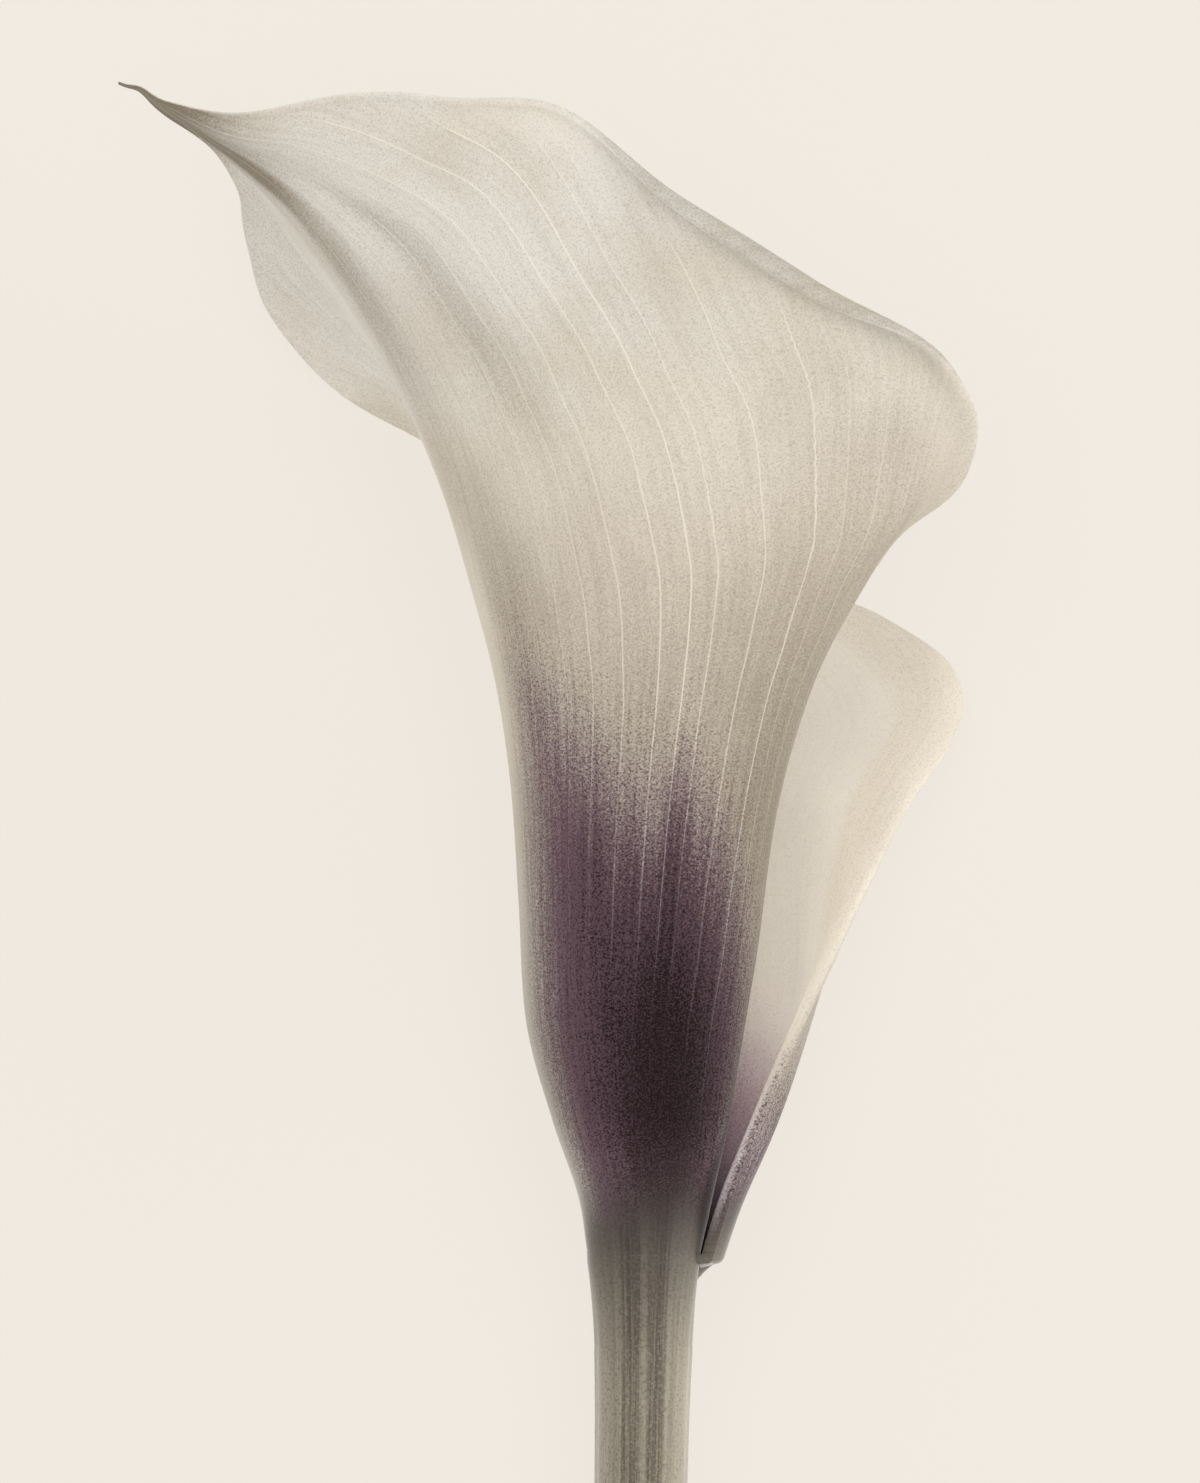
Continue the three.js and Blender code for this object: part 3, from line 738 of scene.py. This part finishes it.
def build_stem(material):
    """The stem: radius from the cut end to the flared top, less its ribs, with a shallow bed for the
    sleeve. The cut end dips towards its middle, and the core stands inside the spathe."""
    angle = np.linspace(0, 2 * np.pi, STEM_SIDES, endpoint=False)[None, :]
    t = 1 - (1 - np.linspace(0, 1, STEM_STEPS + 1)) ** STEM_STEP_CROWDING
    height = spline(STEM_LINE, t)[:, 1]
    bed = SLEEVE_BED_DEPTH * rise(height, *SLEEVE_BED)
    radius = (stem_radius(t) - bed)[:, None] - stem_ribs(angle, t[:, None])
    body = ring_points(STEM_LINE, t, radius, angle)
    start, near_start, near_top, top = spline(STEM_LINE, np.array([0.0, 0.002, 0.998, 1.0]))
    share = np.linspace(0.02, 1, CUT_RINGS)[:, None, None]
    sunk = CUT_HOLLOW * (1 - share**CUT_HOLLOW_POWER) + CUT_RIPPLE * np.sin(share * CUT_RIPPLE_TURNS)
    cut = start + (body[:1] - start) * share + unit(near_start - start) * sunk
    core_radius = np.array([[CORE_RADIUS], [CORE_TIP_RADIUS]])
    core = ring_points(STEM_LINE, np.array([1.0, 1.0]), core_radius + 0 * angle, angle)
    rise_to_tip = unit(top - near_top) * CORE_TOP
    core[1] += rise_to_tip
    rings = np.concatenate([cut[:-1], body, core])
    ends = np.stack([start + unit(near_start - start) * CUT_HOLLOW, top + rise_to_tip])
    from_middle = np.concatenate([share[:-1, 0, 0], np.ones(len(body) + len(core))])
    from_middle = np.append(np.repeat(from_middle, STEM_SIDES), [0.0, 1.0])
    attributes = {"cut_share": from_middle, **stem_attributes(np.concatenate([rings.reshape(-1, 3), ends]))}
    return capped_tube("calla_stem", rings, ends, attributes, material)


def vein_lines(tree, veins, wander, half_width):
    """How much of a vein there is at a point: a line along each whole number of the phase, which a slow noise
    lets wander, and fainter lines at each third between them."""
    moved = {0: wander, 1: VEIN_WANDER, 2: veins.outputs["X"]}
    shifted = add_node(tree, "Math", moved, operation="MULTIPLY_ADD")
    phase = add_node(tree, "Math", {0: shifted, 1: VEIN_WANDER / 2}, operation="SUBTRACT")
    nearest = add_node(tree, "Math", {0: phase, 1: 0.5}, operation="PINGPONG")
    distance = add_node(tree, "Math", {0: nearest, 1: veins.outputs["Y"]}, operation="MULTIPLY")
    thirds = add_node(tree, "Math", {0: phase, 1: 3.0}, operation="MULTIPLY")
    between = add_node(tree, "Math", {0: thirds, 1: 0.5}, operation="PINGPONG")
    lines = []
    for value, full, edge, most in (
        (distance, 0.04, half_width, 1.0),
        (between, 0.01, 0.1, FAINT_VEIN_SHARE),
    ):
        fall = {"Value": value, "From Min": full, "From Max": edge, "To Min": most, "To Max": 0.0}
        lines.append(add_node(tree, "MapRange", fall, interpolation_type="SMOOTHSTEP"))
    either = add_node(tree, "Math", dict(enumerate(lines)), operation="MAXIMUM")
    return add_node(tree, "Math", {0: either, 1: veins.outputs["Z"]}, operation="MULTIPLY")


def lay_colours(tree, ground, layers):
    """Lays colours over a ground one after another. Each layer gives the value that steers it, the values at
    which its colour starts and is full, the most of the ground that it covers, and the colour or its hex
    number."""
    for value, start, full, most, tone in layers:
        if isinstance(tone, int):
            tone = colour(tone)
        climb = {"Value": value, "From Min": start, "From Max": full, "To Max": most}
        cover = add_node(tree, "MapRange", climb, interpolation_type="SMOOTHSTEP")
        laid = add_node(tree, "Mix", {"Factor": cover, 6: ground, 7: tone}, data_type="RGBA")
        ground = laid.outputs[2]
    return ground


def stipple(tree, share, grain):
    """Breaks up a share of cover into specks where it is neither nothing nor all: the grain, which is 0 on
    average, is added in proportion to the covered times the bare share."""
    bare = add_node(tree, "Math", {0: 1.0, 1: share}, operation="SUBTRACT")
    mixed = add_node(tree, "Math", {0: share, 1: bare}, operation="MULTIPLY")
    inputs = {0: mixed, 1: grain, 2: share}
    return add_node(tree, "Math", inputs, operation="MULTIPLY_ADD", use_clamp=True)


def living_surface(tree, tone, relief, strength, inputs):
    """The face of living tissue with its colour, its shallow relief and the face's other inputs. Returns the
    face and the relief."""
    shallow = {"Height": relief, "Strength": strength, "Distance": RELIEF_DEPTH * MILLIMETRE}
    bump = add_node(tree, "Bump", shallow)
    return add_node(tree, "BsdfPrincipled", {"Base Color": tone, "Normal": bump, **inputs}), bump


def stem_tones(tree, settings):
    """Fibrous skin of the stem: pale and dark fibres, flanks made paler by painted light, pale crests on the
    ribs and fine grain, darker towards the flower. The foot of the spathe takes the same tones, so nothing
    shows where the two meet. Returns the colour and the fibres."""
    skin = add_node(tree, "Attribute", attribute_name="stem_skin").outputs["Vector"]
    axes = add_node(tree, "SeparateXYZ", {"Vector": skin})
    across, height = axes.outputs["X"], axes.outputs["Z"]
    rib = add_node(tree, "Attribute", attribute_name="stem_rib").outputs["Fac"]
    # Fibres some 0.25 mm across and 20 mm long, on a skin that is laid out in millimetres
    stretched = add_node(tree, "Mapping", {"Vector": skin, "Scale": (1.0, 1.0, 0.012)})
    long = {"Vector": stretched, "Scale": 4.0, "Detail": 4.0, "Roughness": 0.65}
    fibres = add_node(tree, "TexNoise", long).outputs["Fac"]
    # Grain some 0.25 mm across, coarser than the real cells so that it shows
    fine = {"Vector": skin, "Scale": 4.0, "Detail": 1.0}
    grain = add_node(tree, "TexNoise", fine).outputs["Fac"]
    tones = lay_colours(
        tree,
        colour(0x4A433B),
        [
            (fibres, 0.34, 0.66, 1.0, (*settings.colour, 1.0)),
            # Painted light: both flanks of the stem are laid paler, as if lit at the sides
            (across, 1.2, 4.7, 0.5, 0xBBB4A5),
            (across, -1.2, -4.7, 0.5, 0xBBB4A5),
            (rib, 0.7, 1.0, 0.3, 0x989183),
            (grain, 0.5, 0.75, 0.45, 0x3B352F),
            (grain, 0.5, 0.25, 0.35, 0x908A7D),
            (height, -15.0, 9.0, 0.95, 0x2A2322),
        ],
    )
    return tones, fibres


def leaf_patterns(tree, where, place):
    """The leaf's fibres, its specks of pigment and the soft clouds in its colour."""
    # Fibres some 0.4 mm across and 14 mm long, so they read as streaks that follow the leaf
    stretched = add_node(tree, "Math", {0: place.outputs["Y"], 1: 0.03}, operation="MULTIPLY")
    along = add_node(tree, "CombineXYZ", {"X": place.outputs["X"], "Y": stretched})
    fibres = {"Vector": along, "Scale": 2.4, "Detail": 3.0, "Roughness": 0.6}
    # Specks some 0.2 mm across, and clouds some 10 mm across
    specks = {"Vector": where, "Scale": 4800.0, "Detail": 1.0, "Roughness": 0.7}
    clouds = {"Vector": where, "Scale": 90.0, "Detail": 3.0, "Roughness": 0.5}
    noises = [add_node(tree, "TexNoise", inputs) for inputs in (fibres, specks, clouds)]
    return [noise.outputs["Fac"] for noise in noises]


def dye_throat(tree, skin, fibres, specks, pale, throat, dye):
    """Dyes the skin in three stages: a flush of purple, its darkest tone and mauve. Each starts where the
    depth in the throat passes a limit, earlier or later by fibre and by speck, and deepens from there. The
    veins stay paler. Where it is dyed, the skin is flecked darker and paler by the same specks."""
    by_fibre = add_node(tree, "Math", {0: fibres, 1: 14.0, 2: throat}, operation="MULTIPLY_ADD")
    depth = add_node(tree, "Math", {0: specks, 1: 30.0, 2: by_fibre}, operation="MULTIPLY_ADD")
    spared = add_node(tree, "Math", {0: pale, 1: -0.5, 2: 1.0}, operation="MULTIPLY_ADD")
    by_line = add_node(tree, "Math", {0: fibres, 1: 4.0, 2: -6.0}, operation="MULTIPLY_ADD")
    grain = add_node(tree, "Math", {0: specks, 1: 8.0, 2: by_line}, operation="MULTIPLY_ADD")
    dyed = skin
    stages = []
    for start, full, share, tone in (
        (10.0, 28.0, dye.outputs["X"], colour(0x8B707E)),
        (17.0, 42.0, dye.outputs["Y"], colour(0x301C22)),
        (14.0, 42.0, dye.outputs["Z"], colour(0xC095B8)),
    ):
        climb = {"Value": depth, "From Min": start, "From Max": full}
        reached = add_node(tree, "MapRange", climb, interpolation_type="SMOOTHSTEP")
        stippled = stipple(tree, share, grain)
        taken = add_node(tree, "Math", {0: reached, 1: stippled}, operation="MULTIPLY")
        stage = add_node(tree, "Math", {0: taken, 1: spared}, operation="MULTIPLY")
        laid = add_node(tree, "Mix", {"Factor": stage, 6: dyed, 7: tone}, data_type="RGBA")
        dyed = laid.outputs[2]
        stages.append(stage)
    flecks = add_node(tree, "Math", {0: stages[0], 1: 0.34}, operation="MULTIPLY")
    darker = (specks, 0.48, 0.75, flecks, 0x1E1318)
    paler = (specks, 0.55, 0.38, flecks, 0x6F5B66)
    return lay_colours(tree, dyed, [darker, paler])


def leaf_passing(tree, settings, place, height):
    """Share of the light that passes through the leaf. The leaf thins towards its margins, and the foot is
    so thick that no light passes there."""
    from_midrib = add_node(tree, "Math", {0: place.outputs["X"]}, operation="ABSOLUTE")
    shares = {"To Min": settings.translucency, "To Max": settings.margin_translucency}
    thin = add_node(tree, "MapRange", {"Value": from_midrib, "From Min": 10.0, "From Max": 30.0, **shares})
    climb = {"Value": height, "From Min": 1.0, "From Max": 16.0, "To Max": thin}
    return add_node(tree, "MapRange", climb, interpolation_type="SMOOTHSTEP")


def spathe_material(settings, stem_settings):
    """Fresh spathe tissue: fleshy and satin-skinned, so light passes through it softly. Fine fibres run
    with the veins, which show as pale lines, and the throat is stippled with purple. Painted shade and
    painted light, read from the leaf's values, grey and pale it in places."""
    material, tree = new_material("Calla_spathe_tissue")
    names = ("leaf_place", "leaf_veins", "leaf_throat_shade_height", "leaf_dye")
    values = [add_node(tree, "Attribute", attribute_name=name).outputs["Vector"] for name in names]
    place, veins, tint, dye = (add_node(tree, "SeparateXYZ", {"Vector": value}) for value in values)
    where = add_node(tree, "TexCoord").outputs["Object"]
    # Depth in the throat, the painted shade and the height
    throat, shade, height = (tint.outputs[axis] for axis in "XYZ")
    wander = add_node(tree, "TexNoise", {"Vector": where, "Scale": 55.0, "Detail": 2.0})
    pale = vein_lines(tree, veins, wander.outputs["Fac"], settings.vein_width / MILLIMETRE)
    fibres, specks, clouds = leaf_patterns(tree, where, place)
    # The painted shade shows through the fibres as streaks and through the specks as grain
    lined = add_node(tree, "Math", {0: fibres, 1: 0.4, 2: 0.3}, operation="MULTIPLY_ADD")
    grainy = add_node(tree, "Math", {0: specks, 1: lined}, operation="ADD")
    streaks = add_node(tree, "Math", {0: shade, 1: grainy}, operation="MULTIPLY")
    skin = lay_colours(
        tree,
        (*settings.colour, 1.0),
        [
            (height, 104.0, 64.0, 1.0, 0xF4F0E8),
            (clouds, 0.35, 0.7, 0.5, 0xE9E4DB),
            (fibres, 0.4, 0.75, 0.14, 0xBCB6AB),
            (specks, 0.45, 0.75, 0.28, 0x9A9288),
            # Painted shade: grey laid where the leaf's painted shade is strong
            (streaks, 0.0, 1.0, 1.0, 0x938A7C),
            (pale, 0.0, 1.0, 0.8, 0xFBF8F1),
            # Painted light: the inner face of the far half is laid whiter, as if lit through the leaf
            (dye.outputs["Z"], 0.0, 1.0, 0.5, 0xFBFCFF),
        ],
    )
    dyed = dye_throat(tree, skin, fibres, specks, pale, throat, dye)
    foot_tones, _ = stem_tones(tree, stem_settings)
    footed = lay_colours(tree, dyed, [(height, 14.0, 1.0, 1.0, foot_tones)])
    relief = add_node(tree, "Math", {0: pale, 1: 0.8, 2: fibres}, operation="MULTIPLY_ADD")
    face, bump = living_surface(tree, footed, relief, 0.3, {**SATIN_SKIN, "Sheen Weight": 0.6})
    through = add_node(tree, "BsdfTranslucent", {"Color": footed, "Normal": bump})
    passing = leaf_passing(tree, settings, place, height)
    both = add_node(tree, "MixShader", {0: passing, 1: face, 2: through})
    add_node(tree, "OutputMaterial", {"Surface": both})
    return material


def spadix_material(settings):
    """Pollen-bearing florets: matt and powdery, deep yellow between the florets and pale on their tops."""
    material, tree = new_material("Calla_spadix_pollen")
    floret = add_node(tree, "Attribute", attribute_name="floret").outputs["Vector"]
    floret = add_node(tree, "SeparateXYZ", {"Vector": floret})
    dome, chance, height = (floret.outputs[axis] for axis in "XYZ")
    where = add_node(tree, "TexCoord").outputs["Object"]
    # Pollen grains are drawn 0.15 mm wide, several times their real size, so that they show
    pollen = add_node(tree, "TexNoise", {"Vector": where, "Scale": 6500.0, "Detail": 1.0})
    pollen = pollen.outputs["Fac"]
    powdered = lay_colours(
        tree,
        colour(0xA9812C),
        [
            (dome, 0.05, 0.6, 1.0, (*settings.colour, 1.0)),
            (chance, 0.0, 1.0, 0.4, 0xD9AE46),
            (pollen, 0.52, 0.66, 0.7, 0xF4E3A0),
            (height, 0.35, 0.0, 0.7, 0xB9B873),
        ],
    )
    matt = {"Roughness": 0.85, "Sheen Weight": 0.3, "Sheen Roughness": 0.4}
    face, _ = living_surface(tree, powdered, pollen, 0.4, matt)
    add_node(tree, "OutputMaterial", {"Surface": face})
    return material


def stem_material(settings):
    """Fresh stem: a smooth skin over long fibres, olive grey with pale and dark lines and greener towards the
    cut. The cut end shows pale pith with the dots of its bundles inside a darker rind."""
    material, tree = new_material("Calla_stem_skin")
    tones, fibres = stem_tones(tree, settings)
    skin = add_node(tree, "Attribute", attribute_name="stem_skin").outputs["Vector"]
    height = add_node(tree, "SeparateXYZ", {"Vector": skin}).outputs["Z"]
    from_middle = add_node(tree, "Attribute", attribute_name="cut_share").outputs["Fac"]
    where = add_node(tree, "TexCoord").outputs["Object"]
    outside = lay_colours(tree, tones, [(height, -40.0, -170.0, 0.45, 0x868A5E)])
    # Bundles of the cut end, some 0.8 mm apart
    cells = {"Vector": where, "Scale": 1250.0, "Randomness": 0.8}
    bundles = add_node(tree, "TexVoronoi", cells).outputs["Distance"]
    shown = lay_colours(
        tree,
        colour(0xC9CBA0),
        [
            (bundles, 0.34, 0.18, 1.0, 0x8E9460),
            (from_middle, 0.86, 0.95, 1.0, 0x7C8257),
            (from_middle, 0.97, 1.0, 1.0, outside),
        ],
    )
    face, _ = living_surface(tree, shown, fibres, 0.3, {**SATIN_SKIN, "Sheen Weight": 0.8})
    add_node(tree, "OutputMaterial", {"Surface": face})
    return material


def floor_material(settings):
    """Matt paper lit from above and a little from behind, so it stays pale and even under the flower."""
    material, tree = new_material("Pale_paper")
    tone = (*settings.floor_colour, 1.0)
    paper = add_node(tree, "BsdfDiffuse", {"Color": colour(0x4E4C49)})
    glow = add_node(tree, "Emission", {"Color": tone, "Strength": settings.floor_glow})
    both = add_node(tree, "AddShader", {0: paper, 1: glow})
    add_node(tree, "OutputMaterial", {"Surface": both})
    return material


class SpatheSettings(bpy.types.PropertyGroup):
    colour: FloatVectorProperty(
        name="Leaf colour", description="Colour of the leaf between its veins",
        default=colour(0xF5F4F2)[:3], subtype="COLOR", size=3,
    )
    vein_width: FloatProperty(
        name="Vein width", description="Half the width of a main vein", default=0.14 * MILLIMETRE, min=0.0,
        unit="LENGTH",
    )
    translucency: FloatProperty(
        name="Translucency", description="Share of the light that the leaf lets through near its midrib",
        default=0.6, min=0.0, max=1.0, subtype="FACTOR",
    )
    margin_translucency: FloatProperty(
        name="Margin translucency",
        description="Share of the light that the leaf lets through near its margins", default=0.75,
        min=0.0, max=1.0, subtype="FACTOR",
    )


class SpadixSettings(bpy.types.PropertyGroup):
    colour: FloatVectorProperty(
        name="Pollen colour", description="Colour of the tops of the florets",
        default=colour(0xEBCB6B)[:3], subtype="COLOR", size=3,
    )


class StemSettings(bpy.types.PropertyGroup):
    colour: FloatVectorProperty(
        name="Skin colour", description="Pale colour of the stem's fibres", default=colour(0x6E675B)[:3],
        subtype="COLOR", size=3,
    )


class StageSettings(bpy.types.PropertyGroup):
    floor_colour: FloatVectorProperty(
        name="Floor colour", description="Colour of the paper that the flower lies on",
        default=colour(0xF1EBE2)[:3], subtype="COLOR", size=3,
    )
    floor_glow: FloatProperty(
        name="Floor glow", description="Light that the paper gives off by itself", default=0.862, min=0.0,
    )
    world_strength: FloatProperty(
        name="Sky", description="Strength of the even light from all round", default=0.82, min=0.0,
    )
    key_power: FloatProperty(
        name="Key light", description="Power of the large soft light over the flower", default=12.0,
        min=0.0, unit="POWER",
    )
    side_power: FloatProperty(
        name="Side light", description="Power of the low soft light on the side of the open lobe",
        default=1.9, min=0.0, unit="POWER",
    )


class AddSpathe(bpy.types.Operator):
    """Adds the spathe with its veins and purple throat"""

    bl_idname = "mesh.calla_spathe_add"
    bl_label = "Add spathe"

    def execute(self, context):
        scene = context.scene
        spathe = build_spathe(spathe_material(scene.calla_spathe, scene.calla_stem))
        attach(spathe, "root")
        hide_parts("spathe")
        return {"FINISHED"}


class AddSpadix(bpy.types.Operator):
    """Adds the spadix with its florets"""

    bl_idname = "mesh.calla_spadix_add"
    bl_label = "Add spadix"

    def execute(self, context):
        spadix = build_spadix(spadix_material(context.scene.calla_spadix))
        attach(spadix, "root")
        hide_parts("spadix")
        return {"FINISHED"}


class AddStem(bpy.types.Operator):
    """Adds the stem with its ribs and its cut end"""

    bl_idname = "mesh.calla_stem_add"
    bl_label = "Add stem"

    def execute(self, context):
        stem = build_stem(stem_material(context.scene.calla_stem))
        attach(stem, "root")
        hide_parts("stem")
        return {"FINISHED"}


class AddStage(bpy.types.Operator):
    """Adds the floor, the soft lights and the camera"""

    bl_idname = "scene.calla_stage_add"
    bl_label = "Add stage"

    def execute(self, context):
        settings = context.scene.calla_stage
        add_floor(settings)
        add_lights(settings)
        add_camera()
        return {"FINISHED"}


def add_floor(settings):
    """A flat sheet of paper under the lowest point of the flower."""
    half = FLOOR_SIZE / 2
    level = CAD_BOX[0].z - FLOOR_GAP * MILLIMETRE
    corners = [(-half, -half, level), (half, -half, level), (half, half, level), (-half, half, level)]
    mesh = bpy.data.meshes.new("floor")
    mesh.from_pydata(corners, [], [(0, 1, 2, 3)])
    mesh.materials.append(floor_material(settings))
    floor = link_object("floor", mesh)


def add_lights(settings):
    """An even sky, a large soft light high above the flower and a low one on its right."""
    world = bpy.data.worlds.new("soft_sky")
    world.use_nodes = True
    background = world.node_tree.nodes["Background"]
    background.inputs["Color"].default_value = colour(LAMP_TONE)
    background.inputs["Strength"].default_value = settings.world_strength
    bpy.context.scene.world = world
    bpy.context.scene.view_settings.view_transform = "Standard"
    add_lamp("soft_light", (0.05, 0.3, 1.3), 0.9, settings.key_power, 180)
    add_lamp("side_light", (0.9, -0.1, 0.28), 0.5, settings.side_power, 110)


def add_lamp(name, place, size, power, spread):
    """A round soft light that faces the middle of the flower and spreads over an angle in degrees."""
    lamp = bpy.data.lights.new(name, "AREA")
    lamp.shape = "DISK"
    lamp.size = size
    lamp.energy = power
    lamp.spread = np.radians(spread)
    lamp.color = colour(LAMP_TONE)[:3]
    light = link_object(name, lamp)
    light.location = place
    target = (CAD_BOX[0] + CAD_BOX[1]) / 2
    light.rotation_euler = (target - light.location).to_track_quat("-Z", "Y").to_euler()


def add_camera():
    """Camera straight above the flower, at the distance from which its lens frames the view height: the
    height times the focal length over the sensor."""
    data = bpy.data.cameras.new("camera")
    data.lens = LENS
    data.sensor_width = SENSOR
    distance = VIEW_HEIGHT * LENS / SENSOR
    centre = np.array(VIEW_CENTRE) + SHIFT + [0, 0, distance]
    data.clip_end = 10.0
    camera = link_object("camera", data)
    camera.location = (centre * MILLIMETRE).tolist()
    bpy.context.scene.camera = camera


class CallaPanel(bpy.types.Panel):
    """Lists the pieces of the flower and their settings"""

    bl_idname = "VIEW3D_PT_calla"
    bl_label = "Calla lily"
    bl_space_type = "VIEW_3D"
    bl_region_type = "UI"
    bl_category = "Calla"

    def draw(self, context):
        for operator, settings, _ in PIECES:
            box = self.layout.box()
            group = getattr(context.scene, settings)
            for name in group.bl_rna.properties.keys():
                if name not in ("rna_type", "name"):
                    box.prop(group, name)
            box.operator(operator)


PIECES = [
    ("mesh.calla_spathe_add", "calla_spathe", SpatheSettings),
    ("mesh.calla_spadix_add", "calla_spadix", SpadixSettings),
    ("mesh.calla_stem_add", "calla_stem", StemSettings),
    ("scene.calla_stage_add", "calla_stage", StageSettings),
]
CLASSES = [*(group for _, _, group in PIECES), AddSpathe, AddSpadix, AddStem, AddStage, CallaPanel]


def register():
    for kind in CLASSES:
        bpy.utils.register_class(kind)
    for _, settings, group in PIECES:
        setattr(bpy.types.Scene, settings, PointerProperty(type=group))


def unregister():
    for _, settings, _ in PIECES:
        delattr(bpy.types.Scene, settings)
    for kind in reversed(CLASSES):
        bpy.utils.unregister_class(kind)


def main():
    """Builds every piece and the stage."""
    register()
    bpy.ops.mesh.calla_spathe_add()
    bpy.ops.mesh.calla_spadix_add()
    bpy.ops.mesh.calla_stem_add()
    bpy.ops.scene.calla_stage_add()


if __name__ == "__main__":
    main()
